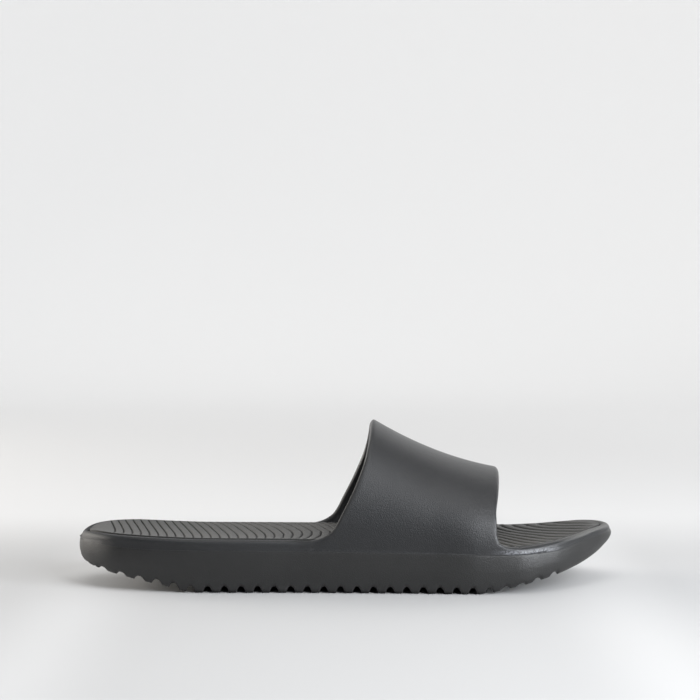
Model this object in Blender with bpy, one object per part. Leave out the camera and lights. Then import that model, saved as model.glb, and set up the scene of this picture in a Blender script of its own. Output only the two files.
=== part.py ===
"""Pool slide for the right foot: a moulded upper, the sole that it is bonded to, and a footbed.

X runs from heel to toe, Y from the outer (little toe) side to the inner side, and Z is up. The origin is on
the floor under the middle of the slide. Sizes are millimetres until a mesh is made, which is in metres.
"""

import math
from collections import namedtuple

import bmesh
import bpy
import numpy as np

MM = 0.001

# Driving sizes
LENGTH = 285.0
BALL_WIDTH = 103.0
HEEL_HEIGHT = 27.4
INSTEP_HEIGHT = 85.7
VAMP_HEIGHT = 60.9
WALL = 5.0
STRAP_WALL = 4.4
FOOTBED_EDGE = 7.0
GAP = 0.3

OUTER, INNER = -1, 1

# The last, heel to toe. along: share of the length. centre and half_width: shares of half the ball width.
# The heights are shares of the heel height: the rim on either side, the join of upper and sole, the tread,
# and the dish, which is how far the footbed's middle lies under its edges.
Section = namedtuple("Section", "along centre half_width rim_outer rim_inner join tread dish")
LAST = [
    Section(0.000, -0.020, 0.000, 1.030, 1.030, 0.890, 0.511, 0.010),
    Section(0.035, -0.026, 0.518, 1.075, 1.068, 0.887, 0.403, 0.035),
    Section(0.088, -0.034, 0.694, 1.059, 1.056, 0.844, 0.290, 0.075),
    Section(0.158, -0.052, 0.763, 1.034, 1.018, 0.815, 0.145, 0.105),
    Section(0.232, -0.069, 0.776, 1.010, 0.994, 0.808, 0.000, 0.100),
    Section(0.386, -0.076, 0.779, 0.999, 0.986, 0.803, 0.000, 0.075),
    Section(0.526, -0.039, 0.843, 0.960, 0.957, 0.786, 0.000, 0.060),
    Section(0.649, 0.019, 0.940, 0.900, 0.905, 0.768, 0.000, 0.058),
    Section(0.737, 0.050, 1.000, 0.874, 0.870, 0.755, 0.000, 0.058),
    Section(0.807, 0.078, 0.982, 0.874, 0.862, 0.741, 0.122, 0.055),
    Section(0.877, 0.140, 0.855, 0.926, 0.902, 0.762, 0.262, 0.045),
    Section(0.930, 0.212, 0.652, 1.004, 0.974, 0.868, 0.401, 0.030),
    Section(0.968, 0.255, 0.420, 1.060, 1.042, 0.930, 0.544, 0.018),
    Section(0.989, 0.275, 0.235, 1.072, 1.067, 0.950, 0.670, 0.010),
    Section(1.000, 0.280, 0.000, 1.075, 1.075, 0.957, 0.774, 0.008),
]

# The sole's side from its top edge to the tread: share of the height, and how far it lies inside the outline.
WallRow = namedtuple("WallRow", "height inset")
SOLE_WALL = [WallRow(1.00, 0.2), WallRow(0.62, -0.2), WallRow(0.27, 0.6), WallRow(0.00, 2.6)]

# Tread: straight bars across the sole, with a round-topped groove between each two. The first few bars are
# wider, which moves all the later ones forward by the spread.
TREAD_PITCH = 8.52
TREAD_FIRST = 13.0
TREAD_GROOVES = 28
TREAD_HEEL_SPREAD = 7.5
TREAD_HEEL_BARS = 3.2
TREAD_DEPTH = 2.7
TREAD_MOUTH = 4.2
GrooveRow = namedtuple("GrooveRow", "reach height")
TREAD_ARCH = [GrooveRow(-1.0, 0.0), GrooveRow(-0.8, 0.6), GrooveRow(-0.36, 1.0),
              GrooveRow(0.36, 1.0), GrooveRow(0.8, 0.6), GrooveRow(1.0, 0.0)]

# Footbed: ripples that sweep towards the heel on the inner side, more so under the ball. Its edges stand a
# little proud of the rim.
RIPPLE_PITCH = 4.7
RIPPLE_FIRST = 22.0
RIPPLE_COUNT = 53
RIPPLE_DEPTH = 1.0
RIPPLE_MOUTH = 1.3
RIPPLE_COLUMNS = 10
RIPPLE_BEND = 1.7
FOOTBED_PROUD = 0.4
Sweep = namedtuple("Sweep", "along back crest")
RIPPLE_SWEEP = [
    Sweep(0.00, 0.0, 0.0),
    Sweep(0.09, 8.0, 0.5),
    Sweep(0.30, 11.0, 0.5),
    Sweep(0.38, 13.0, 1.0),
    Sweep(0.45, 10.0, 4.0),
    Sweep(0.58, 16.0, 4.0),
    Sweep(0.79, 30.0, 0.0),
    Sweep(0.90, 18.0, 0.0),
    Sweep(1.00, 0.0, 0.0),
]

# The strap's two edges, from the rim (rise 0) to the crown (rise 1): distance from the heel.
EdgeRow = namedtuple("EdgeRow", "rise back front")
STRAP_EDGES = [
    EdgeRow(0.00, 121.0, 232.5),
    EdgeRow(0.02, 126.4, 227.5),
    EdgeRow(0.05, 130.6, 224.2),
    EdgeRow(0.11, 134.4, 221.8),
    EdgeRow(0.17, 136.9, 220.9),
    EdgeRow(0.25, 139.4, 220.3),
    EdgeRow(0.50, 147.0, 220.1),
    EdgeRow(0.75, 153.0, 221.8),
    EdgeRow(1.00, 156.4, 224.0),
]
STRAP_FULLNESS = 2.25
STRAP_FOOT = 0.1
STRAP_SADDLE = 3.2
STRAP_CROWN_SHIFT = 4.0
STRAP_EDGE_ROUND = 2.0
RIM_ROUND = 2.2
RIM_LEAN = 0.3
EDGE_SQUARENESS = 3.4

# Mesh fineness
REAR_STEPS = 22
STRAP_STEPS = 12
FRONT_STEPS = 18
ARCH_STEPS = 36
ARCH_CROWDING = 0.8
EDGE_STEPS = 4
RECESS_STEPS = 44
HEEL_STEPS = 5
TOE_STEPS = 9
TIP_ANGLE = 0.02
NORMAL_PROBE = 0.004
SHARP_ANGLE = math.radians(35)


class Curve:
    """A smooth curve through the rows of a table, which never overshoots them. It can end level."""

    def __init__(self, at, values, level_ends=False):
        self.at = np.array(at, float)
        self.values = np.array(values, float)
        step = np.diff(self.at)
        rate = np.diff(self.values) / step
        slope = np.zeros(len(self.at))
        for i in range(1, len(rate)):
            if rate[i - 1] * rate[i] > 0:
                before = 2 * step[i] + step[i - 1]
                after = step[i] + 2 * step[i - 1]
                slope[i] = (before + after) / (before / rate[i - 1] + after / rate[i])
        if not level_ends:
            slope[0] = self.end_slope(step[0], step[1], rate[0], rate[1])
            slope[-1] = self.end_slope(step[-1], step[-2], rate[-1], rate[-2])
        self.step = step
        self.slope = slope

    @staticmethod
    def end_slope(near_step, far_step, near_rate, far_rate):
        slope = ((2 * near_step + far_step) * near_rate - near_step * far_rate) / (near_step + far_step)
        return slope if slope * near_rate > 0 else 0.0

    def __call__(self, where):
        where = np.clip(np.asarray(where, float), self.at[0], self.at[-1])
        i = np.clip(np.searchsorted(self.at, where) - 1, 0, len(self.step) - 1)
        t = (where - self.at[i]) / self.step[i]
        rise = self.values[i + 1] - self.values[i]
        pull = t * (1 - t) * self.step[i] * (self.slope[i] * (1 - t) - self.slope[i + 1] * t)
        return self.values[i] + rise * t * t * (3 - 2 * t) + pull


def turn(along):
    """Angle that runs from 0 at the heel to pi at the toe, so that the outline's ends come out round."""
    return np.arccos(np.clip(1 - 2 * np.asarray(along, float) / LENGTH, -1, 1))


def last_curve(name, scale):
    """One column of the last as a curve over that angle, in millimetres. Only the width comes to a point."""
    angles = [turn(row.along * LENGTH) for row in LAST]
    return Curve(angles, [getattr(row, name) * scale for row in LAST], level_ends=name != "half_width")


HALF_BALL = BALL_WIDTH / 2
centre = last_curve("centre", HALF_BALL)
half_width = last_curve("half_width", HALF_BALL)
rim = {OUTER: last_curve("rim_outer", HEEL_HEIGHT), INNER: last_curve("rim_inner", HEEL_HEIGHT)}
join = last_curve("join", HEEL_HEIGHT)
tread = last_curve("tread", HEEL_HEIGHT)
dish = last_curve("dish", HEEL_HEIGHT)
sweep_back = Curve([row.along * LENGTH for row in RIPPLE_SWEEP], [row.back for row in RIPPLE_SWEEP])
sweep_crest = Curve([row.along * LENGTH for row in RIPPLE_SWEEP], [row.crest for row in RIPPLE_SWEEP])
strap_back = Curve([row.rise for row in STRAP_EDGES], [row.back for row in STRAP_EDGES])
strap_front = Curve([row.rise for row in STRAP_EDGES], [row.front for row in STRAP_EDGES])


def outline(angle, side):
    """Plan point of the outline at an angle, before any inset."""
    angle = np.clip(np.asarray(angle, float), 0, math.pi)
    along = LENGTH / 2 * (1 - np.cos(angle))
    return np.stack([along, centre(angle) + side * half_width(angle)], -1)


def outward(angle, side):
    """Unit plan normal of the outline, pointing away from the foot."""
    run = outline(angle + NORMAL_PROBE, side) - outline(angle - NORMAL_PROBE, side)
    normal = side * np.stack([-run[..., 1], run[..., 0]], -1)
    return normal / np.linalg.norm(normal, axis=-1, keepdims=True)


def inset_outline(angle, side, inset):
    return outline(angle, side) - np.asarray(inset, float)[..., None] * outward(angle, side)


def across(along, share, inset):
    """Plan point between the two inset outlines: share -1 is the outer edge, 1 the inner edge."""
    angle = turn(along)
    outer = inset_outline(angle, OUTER, inset)
    inner = inset_outline(angle, INNER, inset)
    weight = (np.asarray(share, float)[..., None] + 1) / 2
    return outer * (1 - weight) + inner * weight


MIDDLE_Y = (outline(np.linspace(0, math.pi, 400), OUTER)[:, 1].min()
            + outline(np.linspace(0, math.pi, 400), INNER)[:, 1].max()) / 2


def to_frame(points):
    """Heel-based millimetres to metres about the middle of the slide."""
    return (np.asarray(points, float) - (LENGTH / 2, MIDDLE_Y, 0)) * MM


def with_height(plan, height):
    return np.concatenate([plan, np.broadcast_to(height, plan.shape[:-1])[..., None]], -1)


def footbed_edge_height(along, side):
    return rim[side](turn(along)) + FOOTBED_PROUD


def footbed_top(along, share):
    """Height of the footbed's surface before the ripples are cut."""
    weight = (share + 1) / 2
    edge = footbed_edge_height(along, OUTER) * (1 - weight) + footbed_edge_height(along, INNER) * weight
    return edge - dish(turn(along)) * (1 - share ** 2)


def ripple_shift(along, share):
    """How far along the foot a ripple moves on its way from the outer edge (share -1) to the inner edge."""
    over = (share + 1) / 2
    crest = sweep_crest(along) * np.sin(math.pi * over) ** 2 * (1 - over)
    return crest - sweep_back(along) * over ** RIPPLE_BEND


def new_object(name, points, faces, material):
    """A closed mesh object in the part's frame, with its faces turned outwards."""
    mesh = bpy.data.meshes.new(name)
    mesh.from_pydata([tuple(p) for p in to_frame(points)], [], faces)
    shell = bmesh.new()
    shell.from_mesh(mesh)
    bmesh.ops.recalc_face_normals(shell, faces=shell.faces)
    shell.to_mesh(mesh)
    shell.free()
    mesh.shade_smooth()
    mesh.set_sharp_from_angle(angle=SHARP_ANGLE)
    if material:
        mesh.materials.append(material)
    made = bpy.data.objects.new(name, mesh)
    bpy.context.scene.collection.objects.link(made)
    return made


def loft(rings):
    """Points and faces of a closed solid through rings of equal length, with both ends capped."""
    count = len(rings[0])
    points = np.concatenate(rings)
    faces = [tuple(range(count)), tuple(range((len(rings) - 1) * count, len(rings) * count))]
    for k in range(len(rings) - 1):
        for i in range(count):
            j = (i + 1) % count
            faces.append((k * count + i, k * count + j, (k + 1) * count + j, (k + 1) * count + i))
    return points, faces


def foam(name, colour, roughness):
    """Moulded foam: one colour, no metal."""
    material = bpy.data.materials.new(name)
    material.use_nodes = True
    shader = material.node_tree.nodes["Principled BSDF"]
    shader.inputs["Base Color"].default_value = (*colour, 1)
    shader.inputs["Roughness"].default_value = roughness
    shader.inputs["Metallic"].default_value = 0
    return material


def tip_sections(first, last, steps):
    """Positions along the foot that crowd towards a tip of the outline, from first to last."""
    angles = np.linspace(turn(first), turn(last), steps + 1)
    return [float(a) for a in LENGTH / 2 * (1 - np.cos(angles))]


HEEL_TIP = LENGTH / 2 * (1 - math.cos(TIP_ANGLE))
TOE_TIP = LENGTH - HEEL_TIP


def groove_middle(number):
    """Where a tread groove runs, counted from the heel."""
    spread = TREAD_HEEL_SPREAD * (1 - math.exp(-number / TREAD_HEEL_BARS))
    return TREAD_FIRST + TREAD_PITCH * number + spread


def tread_sections():
    """(along, groove height) for each section of the sole: plain tips, and a small arch for each groove."""
    reach = TREAD_MOUTH / 2
    found = [(x, 0.0) for x in tip_sections(HEEL_TIP, groove_middle(0) - reach, HEEL_STEPS)[:-1]]
    for number in range(TREAD_GROOVES):
        middle = groove_middle(number)
        found += [(middle + reach * row.reach, TREAD_DEPTH * row.height) for row in TREAD_ARCH]
    toe_start = groove_middle(TREAD_GROOVES - 1) + reach
    return found + [(x, 0.0) for x in tip_sections(toe_start, TOE_TIP, TOE_STEPS)[1:]]


def sole_ring(along, groove):
    """One ring of the sole: down the outer wall, across the tread, up the inner wall."""
    angle = turn(along)
    low, high = tread(angle), join(angle)

    def wall(side):
        rows = []
        for row in SOLE_WALL:
            height = low + row.height * (high - low) + (groove if row.height == 0 else 0)
            rows.append(with_height(inset_outline(angle, side, row.inset), height))
        return rows

    return np.array(wall(OUTER) + wall(INNER)[::-1])


def recess_ring(along):
    """One ring of the tray that is sunk into the sole's top for the footbed."""
    angle = turn(along)
    ring = []
    for side, above in ((OUTER, False), (INNER, False), (INNER, True), (OUTER, True)):
        floor = footbed_edge_height(along, side) - FOOTBED_EDGE - GAP
        ring.append(with_height(inset_outline(angle, side, WALL), 2 * HEEL_HEIGHT if above else floor))
    return np.array(ring)


def make_sole(material):
    sole = new_object("sole", *loft([sole_ring(x, g) for x, g in tread_sections()]), material)
    stations = tip_sections(HEEL_TIP, TOE_TIP, RECESS_STEPS)
    tray = new_object("footbed_tray_cutter", *loft([recess_ring(x) for x in stations]), None)
    tray.hide_render = True
    tray.display_type = "WIRE"
    cut = sole.modifiers.new("footbed tray", "BOOLEAN")
    cut.solver = "EXACT"
    cut.operation = "DIFFERENCE"
    cut.object = tray
    return sole


def footbed_rows():
    """(along, depth) for each row of the footbed: three rows to each ripple, and plain tips."""
    last_ripple = RIPPLE_FIRST + RIPPLE_PITCH * (RIPPLE_COUNT - 1)
    lip = RIPPLE_MOUTH / 2
    rows = [(x, 0.0) for x in tip_sections(HEEL_TIP, RIPPLE_FIRST - lip, HEEL_STEPS)[:-1]]
    for n in range(RIPPLE_COUNT):
        middle = RIPPLE_FIRST + RIPPLE_PITCH * n
        rows += [(middle - lip, 0.0), (middle, RIPPLE_DEPTH), (middle + lip, 0.0)]
    return rows + [(x, 0.0) for x in tip_sections(last_ripple + lip, TOE_TIP, HEEL_STEPS)[1:]]


def footbed_ring(along, depth):
    """One ring of the footbed: across its rippled top, then back along its flat underside."""
    shares = np.linspace(-1, 1, RIPPLE_COLUMNS + 1)
    moved = np.clip(along + ripple_shift(along, shares), HEEL_TIP, TOE_TIP)
    plan = across(moved, shares, WALL + GAP)
    top = with_height(plan, footbed_top(moved, shares) - depth)
    under = []
    for edge, side in ((-1, INNER), (0, OUTER)):
        under.append(with_height(plan[edge], footbed_edge_height(moved[edge], side) - FOOTBED_EDGE))
    return np.concatenate([top, under])


def make_footbed(material):
    return new_object("footbed", *loft([footbed_ring(x, d) for x, d in footbed_rows()]), material)


def arch_angles():
    """Angles over the strap's arch, from its outer foot to its inner foot, closer together at both feet."""
    share = np.linspace(0, 1, ARCH_STEPS + 1)
    return math.pi * share - ARCH_CROWDING / 2 * np.sin(2 * math.pi * share)


def arch_rise():
    """Share of the strap's height at each step over the arch."""
    return np.sin(arch_angles()).clip(0) ** (2 / STRAP_FULLNESS)


def strap_grid():
    """Outer surface of the strap: rows from its back edge to its front edge, columns over the arch."""
    level = np.cos(arch_angles())
    spread = np.sign(level) * np.abs(level) ** (2 / STRAP_FULLNESS)
    rise = arch_rise()
    trim = STRAP_EDGE_ROUND * rise.clip(0, STRAP_FOOT) / STRAP_FOOT
    grid = []
    for share in np.linspace(0, 1, STRAP_STEPS + 1):
        along = strap_back(rise) + trim + (strap_front(rise) - strap_back(rise) - 2 * trim) * share
        sag = 4 * STRAP_SADDLE * share * (1 - share)
        crown = INSTEP_HEIGHT + (VAMP_HEIGHT - INSTEP_HEIGHT) * share - sag
        row = []
        for x, s, r in zip(along, spread, rise):
            side = OUTER if s > 0 else INNER
            foot_y = inset_outline(turn(x), side, RIM_LEAN)[1]
            foot_z = rim_shoulder(turn(x), side)
            y = STRAP_CROWN_SHIFT + (foot_y - STRAP_CROWN_SHIFT) * abs(s)
            row.append((x, y, foot_z + (crown - foot_z) * r))
        grid.append(row)
    return np.array(grid)


def rim_shoulder(angle, side):
    """Height at which the upper's wall starts to round over into its rim, and at which the strap starts."""
    return rim[side](angle) - RIM_ROUND


def band_stations():
    """(angle, side) right round the upper: outer side from heel to toe, then inner side back to the heel."""
    back, front = turn(strap_back(0)), turn(strap_front(0))
    strap = turn(strap_back(0) + (strap_front(0) - strap_back(0)) * np.linspace(0, 1, STRAP_STEPS + 1))
    side_angles = np.concatenate([
        np.linspace(0, back, REAR_STEPS + 1)[:-1], strap, np.linspace(front, math.pi, FRONT_STEPS + 1)[1:]])
    outer = [(a, OUTER) for a in side_angles]
    inner = [(a, INNER) for a in side_angles[-2:0:-1]]
    return outer + inner


def unit(vectors):
    return vectors / np.linalg.norm(vectors, axis=-1, keepdims=True).clip(1e-9)


class Upper:
    """The upper's points and faces: an outer skin and an inner skin over one layout of stations."""

    def __init__(self):
        self.points = []
        self.faces = []
        self.stations = band_stations()
        self.angles = np.array([angle for angle, _ in self.stations])
        self.outer_feet = [REAR_STEPS + step for step in range(STRAP_STEPS + 1)]
        self.inner_feet = [len(self.stations) - place for place in self.outer_feet]
        self.make_band()
        self.make_strap()
        self.make_edges()

    def add(self, points):
        """Stores points and gives their numbers."""
        first = len(self.points)
        self.points += [tuple(point) for point in points]
        return list(range(first, len(self.points)))

    def strip(self, first, second, closed=False):
        """Quads between two lines of points."""
        count = len(first)
        for i in range(count if closed else count - 1):
            j = (i + 1) % count
            self.faces.append((first[i], first[j], second[j], second[i]))

    def band_row(self, inset, heights):
        plan = np.array([inset_outline(angle, side, inset) for angle, side in self.stations])
        return self.add(with_height(plan, heights))

    def make_band(self):
        """The low wall that runs right round the foot, up to where it rounds over into the rim."""
        foot = join(self.angles) + GAP
        shoulder = np.array([rim_shoulder(angle, side) for angle, side in self.stations])
        outer_foot = self.band_row(SOLE_WALL[0].inset, foot)
        self.outer_top = self.band_row(RIM_LEAN, shoulder)
        self.inner_top = self.band_row(WALL, shoulder)
        inner_foot = self.band_row(WALL, foot)
        self.strip(outer_foot, self.outer_top, closed=True)
        self.strip(self.inner_top, inner_foot, closed=True)
        self.strip(inner_foot, outer_foot, closed=True)

    def make_strap(self):
        """Both skins of the strap, whose first and last columns are the band's own points."""
        grid = strap_grid()
        normal = unit(np.cross(np.gradient(grid, axis=0), np.gradient(grid, axis=1)))
        normal *= np.sign(normal[STRAP_STEPS // 2, ARCH_STEPS // 2, 2])
        foot_wall = WALL - RIM_LEAN
        thickness = foot_wall + (STRAP_WALL - foot_wall) * arch_rise().clip(0, STRAP_FOOT) / STRAP_FOOT
        lining = grid - thickness[:, None] * normal
        self.outer_skin, self.inner_skin = [], []
        for row, below, outer, inner in zip(grid, lining, self.outer_feet, self.inner_feet):
            self.outer_skin.append([self.outer_top[outer], *self.add(row[1:-1]), self.outer_top[inner]])
            self.inner_skin.append([self.inner_top[outer], *self.add(below[1:-1]), self.inner_top[inner]])
        for skin in (self.outer_skin, self.inner_skin):
            for first, second in zip(skin, skin[1:]):
                self.strip(first, second)

    def make_edges(self):
        """Rounded edges: one loop over heel rim and strap's back edge, one over toe rim and front edge."""
        count = len(self.stations)
        heel_way = [(self.inner_feet[0] + i) % count for i in range(2 * REAR_STEPS + 1)]
        toe_way = [self.outer_feet[-1] + i for i in range(2 * FRONT_STEPS + 1)]
        for way, row, order in ((heel_way, 0, 1), (toe_way, STRAP_STEPS, -1)):
            outer_loop = [self.outer_top[i] for i in way] + self.outer_skin[row][::order][1:-1]
            inner_loop = [self.inner_top[i] for i in way] + self.inner_skin[row][::order][1:-1]
            bulge = np.full(len(outer_loop), STRAP_EDGE_ROUND)
            bulge[:len(way)] = RIM_ROUND
            self.round_edge(outer_loop, inner_loop, bulge)

    def round_edge(self, outer_loop, inner_loop, bulge):
        """Closes the gap between the two skins along a loop, rounded over away from the material."""
        outer = np.array([self.points[i] for i in outer_loop])
        inner = np.array([self.points[i] for i in inner_loop])
        along = np.roll(outer, -1, 0) - np.roll(outer, 1, 0)
        away = unit(np.cross(along, outer - inner))
        rim_middle = len(outer) // 4
        away *= np.sign(away[rim_middle, 2])
        lines = [outer_loop]
        for step in range(1, EDGE_STEPS):
            level, lift = math.cos(math.pi * step / EDGE_STEPS), math.sin(math.pi * step / EDGE_STEPS)
            over = math.copysign(abs(level) ** (2 / EDGE_SQUARENESS), level)
            out = bulge * lift ** (2 / EDGE_SQUARENESS)
            lines.append(self.add((outer + inner) / 2 + (outer - inner) / 2 * over + away * out[:, None]))
        lines.append(inner_loop)
        for first, second in zip(lines, lines[1:]):
            self.strip(first, second, closed=True)


def make_upper(material):
    upper = Upper()
    return new_object("upper", np.array(upper.points), upper.faces, material)


def main():
    for leftover in list(bpy.data.objects):
        bpy.data.objects.remove(leftover)
    make_sole(foam("sole foam", (0.030, 0.030, 0.031), 0.55))
    make_upper(foam("upper foam", (0.038, 0.038, 0.040), 0.50))
    make_footbed(foam("footbed foam", (0.060, 0.059, 0.057), 0.70))


main()
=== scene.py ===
"""Pool slide for the right foot, dressed for a studio picture.

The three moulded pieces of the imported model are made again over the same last, with finer meshes, rounded
edges and foam finishes. X runs from heel to toe, Y from the outer (little toe) side to the inner side, and Z
is up. Shapes are worked out in millimetres from the heel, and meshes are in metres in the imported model's
frame.
"""

import math
from collections import namedtuple

import bmesh
import bpy
import numpy as np
from bpy.props import FloatProperty, FloatVectorProperty, PointerProperty
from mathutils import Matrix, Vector


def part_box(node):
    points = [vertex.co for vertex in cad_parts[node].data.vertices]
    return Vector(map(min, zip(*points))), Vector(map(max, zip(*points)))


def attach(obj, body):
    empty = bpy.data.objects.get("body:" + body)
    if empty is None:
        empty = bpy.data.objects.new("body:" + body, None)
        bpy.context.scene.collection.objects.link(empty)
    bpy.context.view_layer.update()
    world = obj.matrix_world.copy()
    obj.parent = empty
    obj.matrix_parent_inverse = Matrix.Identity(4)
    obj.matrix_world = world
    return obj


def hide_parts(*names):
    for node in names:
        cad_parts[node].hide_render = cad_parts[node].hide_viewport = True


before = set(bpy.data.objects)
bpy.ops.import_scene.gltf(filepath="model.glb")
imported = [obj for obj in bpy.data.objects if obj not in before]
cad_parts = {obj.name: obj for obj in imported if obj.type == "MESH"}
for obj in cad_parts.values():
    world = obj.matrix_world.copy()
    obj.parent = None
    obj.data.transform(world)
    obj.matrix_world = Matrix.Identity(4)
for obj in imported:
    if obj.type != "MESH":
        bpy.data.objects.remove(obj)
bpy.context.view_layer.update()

bl_info = {
    "name": "Pool Slide",
    "version": (1, 0, 0),
    "blender": (4, 5, 0),
    "location": "View3D > Sidebar > Pool Slide",
    "description": "Makes a moulded foam pool slide over its last, and a pale studio for it",
    "category": "Add Mesh",
}

BODY = "root"
MM = 0.001
OUTER, INNER = -1, 1

# The last, heel to toe. along: share of the length. centre and half_width: shares of half the ball width.
# The heights are shares of the heel height: the rim on either side, the join of upper and sole, the tread,
# and the dish, which is how far the footbed's middle lies under its edges.
Section = namedtuple("Section", "along centre half_width rim_outer rim_inner join tread dish")
LAST = [
    Section(0.000, -0.020, 0.000, 1.030, 1.030, 0.890, 0.511, 0.010),
    Section(0.035, -0.026, 0.518, 1.075, 1.068, 0.887, 0.403, 0.035),
    Section(0.088, -0.034, 0.694, 1.059, 1.056, 0.844, 0.290, 0.075),
    Section(0.158, -0.052, 0.763, 1.034, 1.018, 0.815, 0.145, 0.105),
    Section(0.232, -0.069, 0.776, 1.010, 0.994, 0.808, 0.000, 0.100),
    Section(0.386, -0.076, 0.779, 0.999, 0.986, 0.803, 0.000, 0.075),
    Section(0.526, -0.039, 0.843, 0.960, 0.957, 0.786, 0.000, 0.060),
    Section(0.649, 0.019, 0.940, 0.900, 0.905, 0.768, 0.000, 0.058),
    Section(0.737, 0.050, 1.000, 0.874, 0.870, 0.755, 0.000, 0.058),
    Section(0.807, 0.078, 0.982, 0.874, 0.862, 0.741, 0.122, 0.055),
    Section(0.877, 0.140, 0.855, 0.926, 0.902, 0.762, 0.262, 0.045),
    Section(0.930, 0.212, 0.652, 1.004, 0.974, 0.868, 0.401, 0.030),
    Section(0.968, 0.255, 0.420, 1.060, 1.042, 0.930, 0.544, 0.018),
    Section(0.989, 0.275, 0.235, 1.072, 1.067, 0.950, 0.670, 0.010),
    Section(1.000, 0.280, 0.000, 1.075, 1.075, 0.957, 0.774, 0.008),
]
# The step of the angle over which the outline's direction is taken, the angle from the tips at which the sole
# starts and ends, and how finely the outline is searched for its widest points.
NORMAL_PROBE = 0.004
TIP_ANGLE = 0.006
OUTLINE_SAMPLES = 400

# The sole's side from the tread to its top edge: share of the height, and how far it lies inside the outline.
WallRow = namedtuple("WallRow", "height inset")
SOLE_WALL = [WallRow(0.00, 1.5), WallRow(0.27, 0.4), WallRow(0.62, -0.2), WallRow(1.00, 0.2)]
SOLE_WALL_STEPS = 14

# The toe's nose swells a little beyond the outline, most at this share of the wall's height.
TOE_SWELL = 1.2
TOE_SWELL_FROM = 0.94
TOE_SWELL_HEIGHT = 0.75
SOLE_TREAD_STEPS = 18

# How a sharp corner of the foam is eased: shares of its radius, inwards and back from the corner.
EaseRow = namedtuple("EaseRow", "inwards back")
EASED_CORNER = [EaseRow(0.0, 1.0), EaseRow(0.08, 0.62), EaseRow(0.29, 0.29), EaseRow(0.62, 0.08),
                EaseRow(1.0, 0.0)]
# The radius along the tread, and the seam between upper and sole.
TREAD_EASE = 1.9
JOIN_SEAM = 0.02

# Tread: straight bars across the sole, with a round-topped groove between each two. The first few bars are
# wider, which moves all the later ones forward by the spread. The last few are a little wider too.
TREAD_PITCH = 8.52
TREAD_FIRST = 13.9
TREAD_GROOVES = 28
TREAD_HEEL_SPREAD = 6.2
TREAD_HEEL_BARS = 2.2
TREAD_TOE_SPREAD = 1.5
TREAD_TOE_BARS = 1.2
# Form of a groove's arch: how flat its top is, and how softly it meets the bars.
TREAD_FLATNESS = 2.4
TREAD_CORNER = 1.25
# Depth of the grooves as a share of the tread depth, and their breadth, along the foot.
GrooveRow = namedtuple("GrooveRow", "along depth mouth")
TREAD_GROOVE_ROWS = [
    GrooveRow(0.0, 0.42, 6.4),
    GrooveRow(17.0, 0.48, 6.4),
    GrooveRow(30.0, 0.60, 6.4),
    GrooveRow(60.0, 0.9, 5.4),
    GrooveRow(80.0, 1.0, 5.0),
    GrooveRow(205.0, 1.0, 5.0),
    GrooveRow(216.0, 0.8, 5.2),
    GrooveRow(226.0, 0.45, 5.2),
    GrooveRow(234.0, 0.38, 5.4),
    GrooveRow(243.0, 0.6, 5.6),
    GrooveRow(252.0, 0.65, 5.8),
    GrooveRow(285.0, 0.6, 6.0),
]
# Two small nicks in the heel bevel, behind the first groove.
HeelNick = namedtuple("HeelNick", "along reach depth")
HEEL_NICKS = [HeelNick(4.6, 1.2, 0.8), HeelNick(9.0, 1.2, 0.7)]
TREAD_ARCH_STEPS = 14
TREAD_BAR_STEPS = 3
HEEL_STEPS = 60
TOE_STEPS = 50
# The tray for the footbed: how far its floor lies under the rim, and how high its cutter reaches, in heel
# heights.
TRAY_STEPS = 180
TRAY_FLOOR = 6.9
TRAY_TOP = 2.0

# The strap's two edges, from the rim (rise 0) to the crown (rise 1): distance from the heel.
EdgeRow = namedtuple("EdgeRow", "rise back front")
STRAP_EDGES = [
    EdgeRow(0.00, 121.0, 232.5),
    EdgeRow(0.02, 126.4, 227.5),
    EdgeRow(0.05, 130.6, 224.2),
    EdgeRow(0.11, 134.4, 221.8),
    EdgeRow(0.17, 136.9, 220.9),
    EdgeRow(0.25, 139.4, 220.3),
    EdgeRow(0.50, 147.0, 220.1),
    EdgeRow(0.75, 153.0, 221.8),
    EdgeRow(1.00, 156.4, 224.0),
]
# The strap's arch: how full it is (2 being an ellipse), the share of its rise that is foot, how far its crown
# sags between the edges, and how far the crown lies to the inner side.
STRAP_FULLNESS = 2.25
STRAP_FOOT = 0.1
STRAP_SADDLE = 3.2
STRAP_CROWN_SHIFT = 4.0
# Its edges: how far they bulge, how boxy they are, and the length over which they blend into the rim.
STRAP_EDGE_ROUND = 2.2
STRAP_EDGE_SQUARE = 3.2
EDGE_BLEND = 5.0
REAR_STEPS = 120
STRAP_STEPS = 64
FRONT_STEPS = 90
ARCH_STEPS = 150
ARCH_CROWDING = 0.8
EDGE_STEPS = 14
BAND_STEPS = 5

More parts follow.
